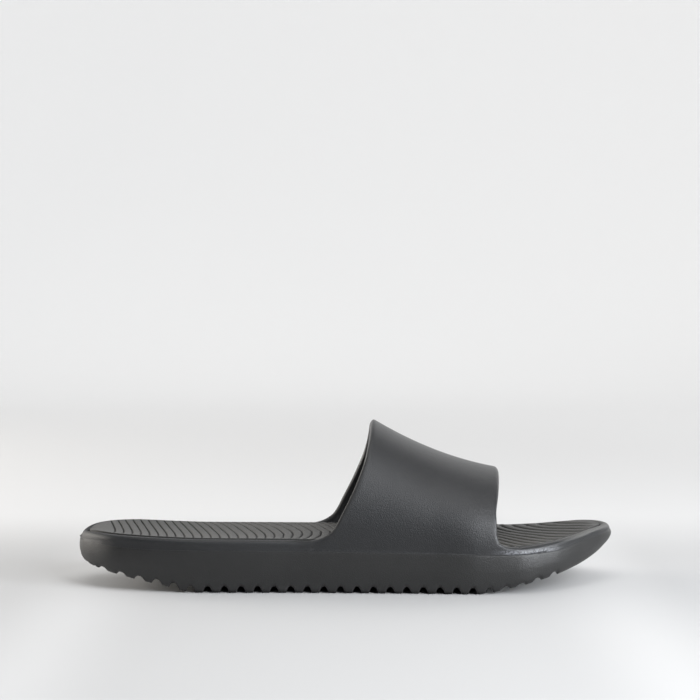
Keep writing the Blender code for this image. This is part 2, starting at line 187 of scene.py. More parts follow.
# The upper's band, heel to toe (along: share of the length). foot and lean: how far it lies inside the
# outline at its foot and at its shoulder. ease and sole_ease: rounding of its foot, and of the sole's edge
# under that. round_over: height in which the shoulder rounds over into the rim. square: how boxy that is, 2
# being round.
BandRow = namedtuple("BandRow", "along foot lean ease sole_ease round_over square")
BAND = [
    BandRow(0.000, 0.20, 0.95, 0.06, 0.06, 3.5, 1.75),
    BandRow(0.030, 0.20, 0.55, 0.06, 0.06, 3.3, 2.0),
    BandRow(0.090, 0.24, 0.50, 0.04, 0.08, 2.9, 2.4),
    BandRow(0.500, 0.24, 0.50, 0.04, 0.08, 2.9, 2.4),
    BandRow(0.660, 0.20, 0.45, 0.05, 0.08, 2.6, 2.5),
    BandRow(0.740, 0.05, 0.42, 0.12, 0.10, 2.8, 2.5),
    BandRow(0.780, -0.10, 0.40, 0.35, 0.18, 2.9, 2.5),
    BandRow(0.830, -0.25, 0.40, 0.55, 0.15, 3.0, 2.3),
    BandRow(0.870, -0.10, 0.38, 0.35, 0.12, 2.6, 2.4),
    BandRow(0.905, 0.15, 0.35, 0.06, 0.06, 1.8, 2.6),
    BandRow(0.950, 0.12, 0.35, 0.04, 0.04, 1.7, 2.5),
    BandRow(0.975, -0.465, -0.20, 0.04, 0.04, 2.2, 2.2),
    BandRow(1.000, -0.867, -0.60, 0.04, 0.04, 3.0, 2.0),
]

# The small nub that the mould's gate leaves at the heel end.
NUB_HEIGHT = 24.6
NUB_REACH = 1.1
NUB_RADIUS = 1.1

# Footbed ripples. Each groove runs across the foot. pitch: groove to groove. deep and broad: depth and
# breadth of the groove against those at the heel. The others are its shifts along the foot at six places on
# the way from the outer edge to the inner edge, with none on the middle line.
Ripple = namedtuple("Ripple", "along pitch deep broad outer mid_outer near mid_inner far inner")
RIPPLES = [
    Ripple(0.0, 4.62, 1.0, 1.0, 1.7, 1.5, -1.2, -2.5, -4.3, -5.8),
    Ripple(25.0, 4.62, 1.0, 1.0, 1.9, 1.7, -1.7, -3.6, -6.0, -8.1),
    Ripple(60.0, 4.70, 1.0, 1.0, 1.9, 1.7, -1.7, -4.0, -6.6, -10.0),
    Ripple(90.0, 4.98, 1.0, 1.0, 1.5, 1.5, -1.8, -4.4, -7.6, -14.2),
    Ripple(110.0, 5.02, 1.0, 1.0, -1.0, 0.1, -1.3, -3.7, -7.9, -14.9),
    Ripple(128.0, 4.95, 1.0, 1.0, -4.5, -1.8, 0.1, -2.4, -5.8, -13.2),
    Ripple(165.0, 5.20, 1.3, 1.2, 0.0, 1.5, -2.0, -6.0, -11.0, -17.0),
    Ripple(225.0, 6.30, 2.3, 2.0, 17.0, 9.5, -7.0, -15.0, -21.0, -24.5),
    Ripple(320.0, 6.30, 2.3, 2.0, 18.0, 10.0, -7.5, -15.5, -21.5, -25.0),
]
RIPPLE_SHARES = (-1.0, -0.5, 0.0, 0.25, 0.5, 0.75, 1.0)
# A groove's line is laid out over the foot's width at its place, held between these two places.
RIPPLE_REACH = (40.0, 215.0)
# The first groove's place, and the room that a groove needs in front of it for a next one, in pitches.
RIPPLE_FIRST = 18.3
RIPPLE_LAST_ROOM = 1.5
# Ripples fade out towards the insert's edge: over the plain strip, which widens near the toe end.
RIPPLE_FADE_START = 0.2
FOOTBED_EDGE_PLAIN = 0.9
RIPPLE_TOE_EDGE = 4.0
RIPPLE_TOE_REACH = 16.0
RIPPLE_COLUMNS = 72
RIPPLE_CROWDING = 0.6
# Half of a groove, from its middle out. phase: share of the pitch.
GroovePoint = namedtuple("GroovePoint", "phase depth")
GROOVE = [
    GroovePoint(0.000, 1.00),
    GroovePoint(0.030, 0.96),
    GroovePoint(0.060, 0.78),
    GroovePoint(0.085, 0.50),
    GroovePoint(0.112, 0.25),
    GroovePoint(0.150, 0.11),
    GroovePoint(0.220, 0.04),
    GroovePoint(0.350, 0.01),
]
# How the footbed sits in the rim (along: share of the length): the gap round it, and how far it stands proud.
SeatRow = namedtuple("SeatRow", "along gap proud")
FOOTBED_SEAT = [SeatRow(0.00, 0.25, 0.6), SeatRow(0.74, 0.25, 0.6), SeatRow(0.84, 0.10, 0.3),
                SeatRow(0.93, 0.04, 0.1), SeatRow(1.00, 0.04, 0.05)]
FOOTBED_THICK = 6.0
FOOTBED_EDGE_EASE = 0.2
FOOTBED_EASE_REACH = (-0.6, 1.2)
FOOTBED_TIP_STEPS = 26
# How finely the insert's edge, a groove's line across the foot and the places along the foot are searched.
FOOTBED_EDGE_SAMPLES = 2400
LINE_SHARES = (-1.4, 1.4, 561)
LINE_HALVINGS = 24
PLACE_MARGINS = (10.0, 40.0)
PLACE_STEP = 2.0
PLACE_HALVINGS = 12
# The painted shade line round the footbed, dark where it meets the rim: its breadth, and the distances from
# the toe end over which it fades out.
EDGE_SHADE_LINE_BREADTH = 0.5
EDGE_SHADE_LINE_FADE = (18.0, 60.0)

# Numbers stored on the points of a piece for its finish.
GROOVE_SHADE_LAYER = "groove"
TOE_RIM_LAYER = "worn"
LIP_GLINT_LAYER = "lip"
BACK_EDGE_SHADE_LAYER = "back_edge"

# Foam skin: the pores are this share of the pebbles' size, and make up this share of the grain.
PORE_SIZE = 0.35
PORE_SHARE = 0.28
# Each foam is a little darker and lighter in slow clouds and in a finer pattern. cloud_size: metres.
# cloud_share: what the clouds count for. low and high: where the tones begin and end. spread: the tones.
Tone = namedtuple("Tone", "cloud_size cloud_share low high spread")
UPPER_TONE = Tone(0.030, 0.70, 0.30, 0.70, 0.12)
SOLE_TONE = Tone(0.024, 0.65, 0.30, 0.70, 0.10)
FOOTBED_TONE = Tone(0.035, 0.25, 0.36, 0.64, 0.20)
CLOUD_DETAIL = 3.0
# What grain, clouds and speckles add to the roughness, and about their mean, which is taken off first.
GRAIN_MATT = 0.10
CLOUD_MATT = 0.04
SPECKLE_MATT = 0.12
UPPER_MATT_MEAN = 0.06
SOLE_MATT_MEAN = 0.05
FOOTBED_MATT_MEAN = 0.05

# The top of the rim at the toe is made lighter and rougher: from where along the foot, how far down from its
# top, how light and how rough.
TOE_RIM_REACH = (0.88, 0.94)
TOE_RIM_DEPTH = (0.1, 0.6)
TOE_RIM_SHADE = 1.25
TOE_RIM_MATT = 0.2
# The lip over the ball of the foot gets a painted highlight in speckles, for the side light's glints on its
# rounded bead: where along the foot and over the join it starts and ends, how light it is, the speckles' size
# in metres, and where they begin and end.
LIP_START = (0.755, 0.80)
LIP_END = (0.855, 0.90)
LIP_FOOT = (0.0, 0.5)
LIP_HEIGHT = (1.6, 2.8)
LIP_GLINT_SHADE = 12.0
LIP_SPECKLE = 0.0009
LIP_SPECKLE_RANGE = (0.35, 0.65)
# The strap's back edge is matt, and painted darker as a painted shade that keeps the heel light's highlight
# off it, from its root to the instep: how far in from the edge, from where along the foot, where it ends on
# the rise from rim to crown, how much rougher and how dark it is.
BACK_EDGE_REACH = (2.0, 5.0)
BACK_EDGE_START = (0.39, 0.42)
BACK_EDGE_END = (0.35, 0.75)
BACK_EDGE_MATT = 0.3
BACK_EDGE_PAINTED_SHADE = 0.6
# The feet of the tread bars are painted dark as a painted contact shadow along the floor: how high above the
# floor, how dark and how much rougher.
BAR_FOOT_SHADOW_HEIGHT = (0.0009, 0.0024)
BAR_FOOT_SHADOW_SHADE = 0.1
BAR_FOOT_MATT = 0.3
# The heel end is matt: how far forward, in metres from the middle of the slide, and how much rougher it is.
HEEL_END = (-0.142, -0.118)
HEEL_MATT = 0.28
# Scuffs low on the sole's side are streaks drawn out along the foot: their size and height in metres, where
# they show, how strong, light, rough and raised they are.
SCUFF_SIZE = 0.0022
SCUFF_STRETCH = (0.12, 0.4, 1.0)
SCUFF_HEIGHT = (0.001, 0.009)
SCUFF_RANGE = (0.56, 0.74)
SCUFF_STRENGTH = 0.5
SCUFF_SHADE = 1.9
SCUFF_MATT = 0.12
SCUFF_RAISE = 0.15
# The footbed is speckled, and its grooves get painted shade, darker with their depth.
SPECKLE_SIZE = 0.0007
SPECKLE_RAISE = 0.5
FOOTBED_GRAIN = 1.3
GROOVE_RANGE = (0.15, 0.9)
GROOVE_PAINTED_SHADE = 0.42
GROOVE_MATT = 0.1

# Edges sharper than this stay sharp, and a piece's box may differ from its node's by this many millimetres.
SHARP_ANGLE = math.radians(50)
SHAPE_ALLOWANCE = 1.5

# Camera and studio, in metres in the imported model's frame.
CAMERA_PLACE = (0.0019, -1.0425, 0.1646)
CAMERA_DIP = math.radians(2.2386)
CAMERA_LENS = 99.98
CAMERA_SENSOR = 36.0
FLOOR_REACH = 1.5
COVE_RADIUS = 1.0
WALL_TOP = 3.2
# Where the paper's edge turns from floor into wall, on the way from the front (0) to the back (1).
WALL_START = (0.35, 0.6)
PAPER_ROUGHNESS = 0.9
PAPER_GLOSS = 0.1
PAPER_CLOUD_SIZE = 0.6
PAPER_SPREAD = 0.005
# The paper's own light: it starts behind the slide, grows up the wall, and there is a little beside both
# ends. The reaches are distances across and along the slide.
NEAR_GLOW = 0.43
NEAR_GLOW_REACH = (0.055, 0.30)
WALL_GLOW_REACH = (0.5, 2.0)
END_GLOW = 0.19
END_GLOW_REACH = (0.085, 0.135)
END_GLOW_FADE = (0.135, 0.18)
FLOOR_RINGS = 24
COVE_RINGS = 24
FLOOR_SPOKES = 96

# Soft boxes: each faces the slide. power: watts.
PLAIN, COOL, WARM = (1.0, 1.0, 1.0), (0.93, 0.96, 1.0), (1.0, 0.95, 0.88)
SoftBox = namedtuple("SoftBox", "name place aim size power colour")
SOFT_BOXES = [
    SoftBox("front_box", (0.6, -1.0, 0.7), (0.08, 0.0, 0.04), (0.5, 0.5), 9.4, COOL),
    SoftBox("top_box", (0.05, -0.35, 1.2), (0.0, 0.0, 0.05), (1.0, 1.1), 6.0, PLAIN),
    SoftBox("back_box", (0.0, 0.9, 1.0), (0.0, 0.0, 0.05), (1.4, 0.6), 0.6, PLAIN),
    SoftBox("low_toe_box", (1.0, -0.6, 0.3), (0.08, 0.0, 0.04), (0.5, 0.4), 14.5, COOL),
    SoftBox("back_toe_box", (0.9, 0.9, 0.6), (0.0, 0.0, 0.04), (0.8, 0.6), 2.3, PLAIN),
    SoftBox("heel_box", (-1.15, 0.4, 0.27), (-0.1, 0.0, 0.03), (0.9, 0.4), 12.8, WARM),
]


class Curve:
    """A smooth curve through the rows of a table, which never overshoots them. It can end level."""

    def __init__(self, at, values, level_ends=False):
        self.at = np.array(at, float)
        self.values = np.array(values, float)
        step = np.diff(self.at)
        rate = np.diff(self.values) / step
        slope = np.zeros(len(self.at))
        for i in range(1, len(rate)):
            if rate[i - 1] * rate[i] > 0:
                before = 2 * step[i] + step[i - 1]
                after = step[i] + 2 * step[i - 1]
                slope[i] = (before + after) / (before / rate[i - 1] + after / rate[i])
        if not level_ends:
            slope[0] = self.end_slope(step[0], step[1], rate[0], rate[1])
            slope[-1] = self.end_slope(step[-1], step[-2], rate[-1], rate[-2])
        self.step = step
        self.slope = slope

    @staticmethod
    def end_slope(near_step, far_step, near_rate, far_rate):
        slope = ((2 * near_step + far_step) * near_rate - near_step * far_rate) / (near_step + far_step)
        return slope if slope * near_rate > 0 else 0.0

    def __call__(self, where):
        where = np.clip(np.asarray(where, float), self.at[0], self.at[-1])
        i = np.clip(np.searchsorted(self.at, where) - 1, 0, len(self.step) - 1)
        t = (where - self.at[i]) / self.step[i]
        rise = self.values[i + 1] - self.values[i]
        pull = t * (1 - t) * self.step[i] * (self.slope[i] * (1 - t) - self.slope[i + 1] * t)
        return self.values[i] + rise * t * t * (3 - 2 * t) + pull


def table_curve(rows, at, name):
    """One column of a table as a curve over another column."""
    return Curve([getattr(row, at) for row in rows], [getattr(row, name) for row in rows])


def smooth_step(value, low, high):
    t = np.clip((np.asarray(value, float) - low) / (high - low), 0, 1)
    return t * t * (3 - 2 * t)


def bow(share):
    """0 at both ends and 1 in the middle."""
    return 4 * share * (1 - share)


def unit(vectors):
    return vectors / np.linalg.norm(vectors, axis=-1, keepdims=True).clip(1e-9)


def last_held(near, far, holds, halvings):
    """How far a test holds on the way from near, where it does, to far, where it doesn't."""
    for _ in range(halvings):
        middle = (near + far) / 2
        if holds(middle):
            near = middle
        else:
            far = middle
    return near


def with_height(plan, height):
    return np.concatenate([plan, np.broadcast_to(height, plan.shape[:-1])[..., None]], -1)


class Last:
    """The shape that all three pieces follow, in millimetres from the heel."""

    def __init__(self, sizes):
        self.length = sizes.length / MM
        self.wall = sizes.wall / MM
        self.strap_wall = sizes.strap_wall / MM
        self.instep_height = sizes.instep_height / MM
        self.vamp_height = sizes.vamp_height / MM
        self.tread_depth = sizes.tread_depth / MM
        self.ripple_depth = sizes.ripple_depth / MM
        half_ball = sizes.ball_width / MM / 2
        heel_height = sizes.heel_height / MM
        self.centre = self.column("centre", half_ball)
        self.half_width = self.column("half_width", half_ball)
        rims = {OUTER: "rim_outer", INNER: "rim_inner"}
        self.rim = {side: self.column(name, heel_height) for side, name in rims.items()}
        self.join = self.column("join", heel_height)
        self.tread = self.column("tread", heel_height)
        self.dish = self.column("dish", heel_height)
        self.bands = {name: table_curve(BAND, "along", name) for name in BandRow._fields[1:]}
        self.top = TRAY_TOP * heel_height
        sweep = np.linspace(0, math.pi, OUTLINE_SAMPLES)
        outer_y = self.outline(sweep, OUTER)[:, 1].min()
        inner_y = self.outline(sweep, INNER)[:, 1].max()
        self.origin = np.array((self.length / 2, (outer_y + inner_y) / 2, 0))

    def turn(self, along):
        """Angle that runs from 0 at the heel to pi at the toe, so that the outline's ends come out round."""
        return np.arccos(np.clip(1 - 2 * np.asarray(along, float) / self.length, -1, 1))

    def column(self, name, scale):
        """One column of the last as a curve over that angle. Only the width comes to a point."""
        angles = [self.turn(row.along * self.length) for row in LAST]
        return Curve(angles, [getattr(row, name) * scale for row in LAST], level_ends=name != "half_width")

    def outline(self, angle, side):
        """Plan point of the outline at an angle, before any inset."""
        angle = np.clip(np.asarray(angle, float), 0, math.pi)
        along = self.length / 2 * (1 - np.cos(angle))
        return np.stack([along, self.centre(angle) + side * self.half_width(angle)], -1)

    def outward(self, angle, side):
        """Unit plan normal of the outline, pointing away from the foot."""
        run = self.outline(angle + NORMAL_PROBE, side) - self.outline(angle - NORMAL_PROBE, side)
        return unit(side * np.stack([-run[..., 1], run[..., 0]], -1))

    def inset_outline(self, angle, side, inset):
        return self.outline(angle, side) - np.asarray(inset, float)[..., None] * self.outward(angle, side)

    def tip_sections(self, first, last, steps):
        """Positions along the foot that crowd towards a tip of the outline, from first to last."""
        angles = np.linspace(self.turn(first), self.turn(last), steps + 1)
        return [float(a) for a in self.length / 2 * (1 - np.cos(angles))]

    def tips(self):
        heel = self.length / 2 * (1 - math.cos(TIP_ANGLE))
        return heel, self.length - heel

    def band(self, name, angle):
        """One column of the band's table at an angle."""
        return self.bands[name]((1 - np.cos(angle)) / 2)

    def rim_shoulder(self, angle, side):
        """Height at which the wall starts to round over into the rim, and at which the strap starts."""
        return self.rim[side](angle) - self.band("round_over", angle)

    def to_frame(self, points):
        """Heel-based millimetres to metres about the middle of the slide."""
        return (np.asarray(points, float) - self.origin) * MM


def add_layer(piece, name, values):
    """Stores a number for each point of a piece, for its finish to read."""
    layer = piece.data.attributes.new(name, "FLOAT", "POINT")
    layer.data.foreach_set("value", values.astype(np.float32))


def make_object(name, last, points, faces, material):
    """A closed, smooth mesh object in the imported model's frame, with its faces turned outwards."""
    mesh = bpy.data.meshes.new(name)
    mesh.from_pydata([tuple(p) for p in last.to_frame(points)], [], faces)
    shell = bmesh.new()
    shell.from_mesh(mesh)
    bmesh.ops.recalc_face_normals(shell, faces=shell.faces)
    shell.to_mesh(mesh)
    shell.free()
    mesh.shade_smooth()
    mesh.set_sharp_from_angle(angle=SHARP_ANGLE)
    if material:
        mesh.materials.append(material)
    made = bpy.data.objects.new(name, mesh)
    bpy.context.scene.collection.objects.link(made)
    return made


def cut_away(piece, cutter):
    """Takes the cutter's shape out of a piece, for good."""
    cut = piece.modifiers.new("cut", "BOOLEAN")
    cut.solver = "EXACT"
    cut.operation = "DIFFERENCE"
    cut.object = cutter
    shape = piece.evaluated_get(bpy.context.evaluated_depsgraph_get())
    cut_mesh = bpy.data.meshes.new_from_object(shape)
    if len(cut_mesh.polygons) <= len(piece.data.polygons) // 2:
        raise RuntimeError(f"{piece.name}: the cut took away too much")
    piece.modifiers.clear()
    piece.data = cut_mesh
    bpy.data.objects.remove(cutter)


def seat(piece, node):
    """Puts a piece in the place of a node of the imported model, and tests that it has the node's size."""
    bpy.context.view_layer.update()
    corners = np.array([vertex.co for vertex in piece.data.vertices])
    for made, packed in zip((corners.min(0), corners.max(0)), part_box(node)):
        if np.abs(made - np.array(packed)).max() > SHAPE_ALLOWANCE * MM:
            raise RuntimeError(f"{piece.name} doesn't have the size of {node}: {made} against {packed}")
    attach(piece, BODY)
    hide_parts(node)


def loft(rings):
    """Points and faces of a closed solid through rings of equal length, capped by strips across its ends."""
    count = len(rings[0])
    points = np.concatenate(rings)
    faces = []
    for first in (0, (len(rings) - 1) * count):
        for i in range((count - 1) // 2):
            strip = (i, i + 1, count - 2 - i, count - 1 - i)
            faces.append(tuple(first + place for place in dict.fromkeys(strip)))
    for k in range(len(rings) - 1):
        for i in range(count):
            j = (i + 1) % count
            faces.append((k * count + i, k * count + j, (k + 1) * count + j, (k + 1) * count + i))
    return points, faces


def groove_middle(number):
    """Where a tread groove runs, counted from the heel."""
    heel_spread = TREAD_HEEL_SPREAD * (1 - math.exp(-number / TREAD_HEEL_BARS))
    toe_spread = TREAD_TOE_SPREAD * math.exp((number - TREAD_GROOVES + 1) / TREAD_TOE_BARS)
    return TREAD_FIRST + TREAD_PITCH * number + heel_spread + toe_spread


def tread_sections(last):
    """(along, groove height) for each section of the sole: plain tips, and a round arch for each groove."""
    depth_at = table_curve(TREAD_GROOVE_ROWS, "along", "depth")
    reach_at = table_curve(TREAD_GROOVE_ROWS, "along", "mouth")
    middles = [groove_middle(number) for number in range(TREAD_GROOVES)]
    reaches = [float(reach_at(middle)) / 2 for middle in middles]
    heel_tip, toe_tip = last.tips()
    found = []
    for x in last.tip_sections(heel_tip, middles[0] - reaches[0], HEEL_STEPS)[:-1]:
        nicks = [nick.depth * max(0.0, 1 - ((x - nick.along) / nick.reach) ** 2) for nick in HEEL_NICKS]
        found.append((x, max(nicks)))
    for number, (middle, reach) in enumerate(zip(middles, reaches)):
        for t in -np.cos(np.linspace(0, math.pi, TREAD_ARCH_STEPS + 1)):
            arch = max(0.0, 1 - abs(t) ** TREAD_FLATNESS) ** TREAD_CORNER
            found.append((middle + reach * t, float(last.tread_depth * depth_at(middle) * arch)))
        if number < TREAD_GROOVES - 1:
            bar_end = middles[number + 1] - reaches[number + 1]
            found += [(x, 0.0) for x in np.linspace(middle + reach, bar_end, TREAD_BAR_STEPS + 1)[1:-1]]
    toe_start = middles[-1] + reaches[-1]
    return found + [(x, 0.0) for x in last.tip_sections(toe_start, toe_tip, TOE_STEPS)[1:]]


def sole_ring(last, inset_at, along, groove):
    """One ring of the sole: down the outer wall, across the tread, up the inner wall."""
    angle = last.turn(along)
    low, high = last.tread(angle), last.join(angle)
    floor = low + groove
    ease = last.band("sole_ease", angle)
    swell = TOE_SWELL * smooth_step(along / last.length, TOE_SWELL_FROM, 1)

    def wall(side):
        profile = [(row.inwards * ease, high - row.back * ease) for row in EASED_CORNER[::-1]]
        for height in np.linspace(high - ease, floor + TREAD_EASE, SOLE_WALL_STEPS + 1)[1:-1]:
            profile.append((0.0, height))
        profile += [(row.inwards * TREAD_EASE, floor + row.back * TREAD_EASE) for row in EASED_CORNER]
        inwards = np.array([point[0] for point in profile])
        heights = np.array([point[1] for point in profile])
        share = (heights - low) / (high - low)
        inset = inset_at(share) + inwards - swell * (1 - (share / TOE_SWELL_HEIGHT - 1) ** 2).clip(0)
        return with_height(last.inset_outline(np.full(len(heights), angle), side, inset), heights)

    outer, inner = wall(OUTER), wall(INNER)[::-1]
    share = np.linspace(0, 1, SOLE_TREAD_STEPS + 1)[1:-1, None]
    tread = outer[-1] * (1 - share) + inner[0] * share
    return np.concatenate([outer, tread, inner])


def tray_ring(last, along):
    """One ring of the tray that is sunk into the sole's top for the footbed."""
    angle = last.turn(along)
    ring = []
    for side, above in ((OUTER, False), (INNER, False), (INNER, True), (OUTER, True)):
        floor = last.rim[side](angle) - TRAY_FLOOR
        ring.append(with_height(last.inset_outline(angle, side, last.wall), last.top if above else floor))
    return np.array(ring)


def make_sole(last, material):
    inset_at = table_curve(SOLE_WALL, "height", "inset")
    rings = [sole_ring(last, inset_at, along, groove) for along, groove in tread_sections(last)]
    points, faces = loft(rings)
    sole = make_object("sole_moulding", last, add_nub(points), faces, material)
    trays = [tray_ring(last, along) for along in last.tip_sections(*last.tips(), TRAY_STEPS)]
    cut_away(sole, make_object("tray_cutter", last, *loft(trays), None))
    sole.data.set_sharp_from_angle(angle=SHARP_ANGLE)
    return sole


def add_nub(points):
    """Raises the mould's nub at the heel end."""
    points = np.array(points, float)
    away = np.hypot(points[:, 1], points[:, 2] - NUB_HEIGHT)
    near_heel = points[:, 0] < NUB_RADIUS
    points[near_heel, 0] -= (NUB_REACH * np.exp(-(away / NUB_RADIUS) ** 2))[near_heel]
    return points


class StrapShape:
    """The strap's arch: how its grid of points spreads from foot to foot and from back edge to front edge."""

    def __init__(self, last):
        share = np.linspace(0, 1, ARCH_STEPS + 1)
        angles = math.pi * share - ARCH_CROWDING / 2 * np.sin(2 * math.pi * share)
        level = np.cos(angles)
        self.last = last
        self.spread = np.sign(level) * np.abs(level) ** (2 / STRAP_FULLNESS)
        self.rise = np.sin(angles).clip(0) ** (2 / STRAP_FULLNESS)
        self.foot = self.rise.clip(0, STRAP_FOOT) / STRAP_FOOT
        self.back = table_curve(STRAP_EDGES, "rise", "back")
        self.front = table_curve(STRAP_EDGES, "rise", "front")

    def grid(self):
        """Outer surface: rows from the back edge to the front edge, columns over the arch."""
        last = self.last
        share = np.linspace(0, 1, STRAP_STEPS + 1)[:, None]
        trim = STRAP_EDGE_ROUND * self.foot
        back, front = self.back(self.rise) + trim, self.front(self.rise) - trim
        along = back + (front - back) * share
        crown = last.instep_height + (last.vamp_height - last.instep_height) * share
        crown = crown - STRAP_SADDLE * bow(share)
        angle = last.turn(along)
        outer_side = np.broadcast_to(self.spread > 0, along.shape)
        lean = last.band("lean", angle)
        foot_y = np.where(outer_side, last.inset_outline(angle, OUTER, lean)[..., 1],
                          last.inset_outline(angle, INNER, lean)[..., 1])
        foot_z = np.where(outer_side, last.rim_shoulder(angle, OUTER), last.rim_shoulder(angle, INNER))
        y = STRAP_CROWN_SHIFT + (foot_y - STRAP_CROWN_SHIFT) * np.abs(self.spread)
        return np.stack([along, y, foot_z + (crown - foot_z) * self.rise], -1)

    def thickness(self, along):
        """Thickness of the wall: the band's at its feet, the strap's own above."""
        foot_wall = self.last.wall - self.last.band("lean", self.last.turn(along))
        return foot_wall + (self.last.strap_wall - foot_wall) * self.foot


class Upper:
    """The upper's points and faces: an outer skin and an inner skin over one layout of stations."""

    def __init__(self, last):
        self.last = last
        self.strap = StrapShape(last)
        self.points = []
        self.faces = []
        self.stations = self.band_stations()
        self.angles = np.array([angle for angle, _ in self.stations])
        self.sides = np.array([side for _, side in self.stations])
        self.outer_feet = [REAR_STEPS + step for step in range(STRAP_STEPS + 1)]
        self.inner_feet = [len(self.stations) - place for place in self.outer_feet]
        self.make_band()
        self.make_strap()
        self.make_edges()

    def band_stations(self):
        """(angle, side) right round: outer side from heel to toe, then inner side back to the heel."""
        last, strap = self.last, self.strap
        back, front = strap.back(0), strap.front(0)
        feet = last.turn(back + (front - back) * np.linspace(0, 1, STRAP_STEPS + 1))
        rear = np.linspace(0, last.turn(back), REAR_STEPS + 1)[:-1]
        fore = np.linspace(last.turn(front), math.pi, FRONT_STEPS + 1)[1:]
        side_angles = np.concatenate([rear, feet, fore])
        return [(a, OUTER) for a in side_angles] + [(a, INNER) for a in side_angles[-2:0:-1]]

    def add(self, points):
        """Stores points and gives their numbers."""
        first = len(self.points)
        self.points += [tuple(point) for point in points]
        return list(range(first, len(self.points)))

    def strip(self, first, second, closed=False):
        """Quads between two lines of points."""
        count = len(first)
        for i in range(count if closed else count - 1):
            j = (i + 1) % count
            self.faces.append((first[i], first[j], second[j], second[i]))

    def by_side(self, outer, inner):
        return np.where(self.sides == OUTER, outer, inner)

    def band_row(self, inset, heights):
        outer = self.last.inset_outline(self.angles, OUTER, inset)
        inner = self.last.inset_outline(self.angles, INNER, inset)
        plan = np.where((self.sides == OUTER)[:, None], outer, inner)
        return self.add(with_height(plan, heights))

    def make_band(self):
        """The low wall that runs right round the foot, up to where it rounds over into the rim."""
        last = self.last
        foot = last.join(self.angles) + JOIN_SEAM
        ease, inset = last.band("ease", self.angles), last.band("foot", self.angles)
        lean = last.band("lean", self.angles)
        shoulder = self.by_side(last.rim_shoulder(self.angles, OUTER), last.rim_shoulder(self.angles, INNER))
        rows = [self.band_row(last.wall, foot)]
        for row in EASED_CORNER[::-1]:
            rows.append(self.band_row(inset + row.inwards * ease, foot + row.back * ease))
        for share in np.linspace(0, 1, BAND_STEPS + 1)[1:]:
            height = (foot + ease) * (1 - share) + shoulder * share
            rows.append(self.band_row(inset + (lean - inset) * (1 - (1 - share) ** 2), height))
        self.outer_top = rows[-1]
        self.inner_top = self.band_row(last.wall, shoulder)
        for first, second in zip(rows, rows[1:]):
            self.strip(first, second, closed=True)
        self.strip(self.inner_top, rows[0], closed=True)

    def make_strap(self):
        """Both skins of the strap, whose first and last columns are the band's own points."""
        grid = self.strap.grid()
        normal = unit(np.cross(np.gradient(grid, axis=0), np.gradient(grid, axis=1)))
        normal *= np.sign(normal[STRAP_STEPS // 2, ARCH_STEPS // 2, 2])
        lining = grid - self.strap.thickness(grid[..., 0])[..., None] * normal
        self.outer_skin, self.inner_skin = [], []
        for row, below, outer, inner in zip(grid, lining, self.outer_feet, self.inner_feet):
            self.outer_skin.append([self.outer_top[outer], *self.add(row[1:-1]), self.outer_top[inner]])
            self.inner_skin.append([self.inner_top[outer], *self.add(below[1:-1]), self.inner_top[inner]])
        for skin in (self.outer_skin, self.inner_skin):
            for first, second in zip(skin, skin[1:]):
                self.strip(first, second)

    def make_edges(self):
        """Rounded edges: one loop over heel rim and strap's back edge, one over toe rim and front edge."""
        count = len(self.stations)
        heel_way = [(self.inner_feet[0] + i) % count for i in range(2 * REAR_STEPS + 1)]
        toe_way = [self.outer_feet[-1] + i for i in range(2 * FRONT_STEPS + 1)]
        for way, row, order in ((heel_way, 0, 1), (toe_way, STRAP_STEPS, -1)):
            outer_loop = [self.outer_top[i] for i in way] + self.outer_skin[row][::order][1:-1]
            inner_loop = [self.inner_top[i] for i in way] + self.inner_skin[row][::order][1:-1]
            bulge = np.full(len(outer_loop), STRAP_EDGE_ROUND)
            bulge[:len(way)] = self.last.band("round_over", self.angles[way])
            square = np.full(len(outer_loop), STRAP_EDGE_SQUARE)
            square[:len(way)] = self.last.band("square", self.angles[way])
            self.round_edge(outer_loop, inner_loop, bulge, square)

    def round_edge(self, outer_loop, inner_loop, bulge, square):
        """Closes the gap between the two skins along a loop, rounded over away from the material."""
        outer = np.array([self.points[i] for i in outer_loop])
        inner = np.array([self.points[i] for i in inner_loop])
        along = np.roll(outer, -1, 0) - np.roll(outer, 1, 0)
        away = unit(np.cross(along, outer - inner))
        rim_middle = len(outer) // 4
        away *= np.sign(away[rim_middle, 2])
        bulge, power = blend_round_loop(outer, bulge), 2 / blend_round_loop(outer, square)
        lines = [outer_loop]
        for step in range(1, EDGE_STEPS):
            level, lift = math.cos(math.pi * step / EDGE_STEPS), math.sin(math.pi * step / EDGE_STEPS)
            over = math.copysign(1, level) * abs(level) ** power
            out = bulge * lift ** power
            lines.append(self.add(
                (outer + inner) / 2 + (outer - inner) / 2 * over[:, None] + away * out[:, None]))
        lines.append(inner_loop)
        for first, second in zip(lines, lines[1:]):
            self.strip(first, second, closed=True)


def blend_round_loop(points, values):
    """Values along a closed loop, evened out over the blend length."""
    step = np.linalg.norm(np.roll(points, -1, 0) - points, axis=1)
    place = np.concatenate([[0], np.cumsum(step)[:-1]])
    apart = np.abs(place[:, None] - place[None, :])
    apart = np.minimum(apart, step.sum() - apart)
    weight = np.exp(-(apart / EDGE_BLEND) ** 2) * (step + np.roll(step, 1))
    return weight @ values / weight.sum(1)


